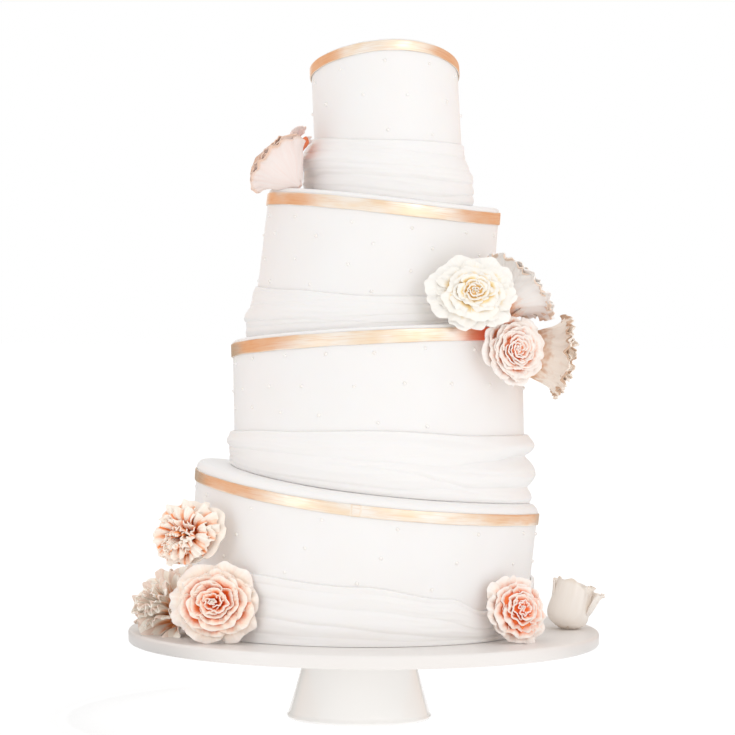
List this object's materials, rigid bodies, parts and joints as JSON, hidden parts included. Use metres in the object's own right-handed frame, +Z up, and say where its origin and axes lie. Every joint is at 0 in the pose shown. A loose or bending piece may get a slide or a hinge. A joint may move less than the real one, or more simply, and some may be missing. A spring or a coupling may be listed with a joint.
{
  "type": "tiered wedding cake",
  "caption": "Slanting tiered wedding cake in white icing with gold bands, draped swags and sugar flowers, built together with its round pedestal stand.",
  "frame": {"origin": "centre of the underside of the stand's foot", "axes": "+Z up, -Y the front of the cake, +X to the viewer's right"},
  "size_m": [0.4838, 0.477, 0.683],
  "materials": {
    "fondant": "smooth white rolled icing, soft satin, slightly warm",
    "gold": "hand-painted peach-gold lustre on an icing strip, fine brush streaks",
    "drape": "thin white rolled icing gathered in soft folds, matte",
    "foot": "glossy cool white glaze",
    "plate": "satin warm white glaze",
    "pearls": "tiny white sugar pearls with a soft pearly shine",
    "petal_blush": "matte blush-pink sugar paste, deeper orange-pink in the crevices",
    "petal_white": "matte ivory-white sugar paste, yellow-orange in the crevices",
    "petal_champagne": "matte champagne sugar paste with browner frilled edges",
    "petal_peach": "matte pale peach sugar paste, deep orange in the crevices",
    "petal_mauve": "matte taupe sugar paste with mauve edges",
    "petal_ivory": "matte pale beige sugar paste"
  },
  "bodies": {
    "root": {"stand_foot": "foot", "stand_plate": "plate", "tier_4": "fondant", "gold_band_4": "gold", "drape_4": "drape", "tier_3": "fondant", "gold_band_3": "gold", "drape_3": "drape", "tier_2": "fondant", "gold_band_2": "gold", "drape_2": "drape", "tier_1": "fondant", "gold_band_1": "gold", "drape_1": "drape", "rose_blush_top": "petal_blush", "rose_white_middle": "petal_white", "flower_champagne_upper": "petal_champagne", "rose_blush_middle": "petal_blush", "flower_champagne_lower": "petal_champagne", "carnation_peach": "petal_peach", "rose_peach_left": "petal_peach", "flower_mauve": "petal_mauve", "rose_peach_right": "petal_peach", "flower_ivory": "petal_ivory"}
  },
  "joints": []
}
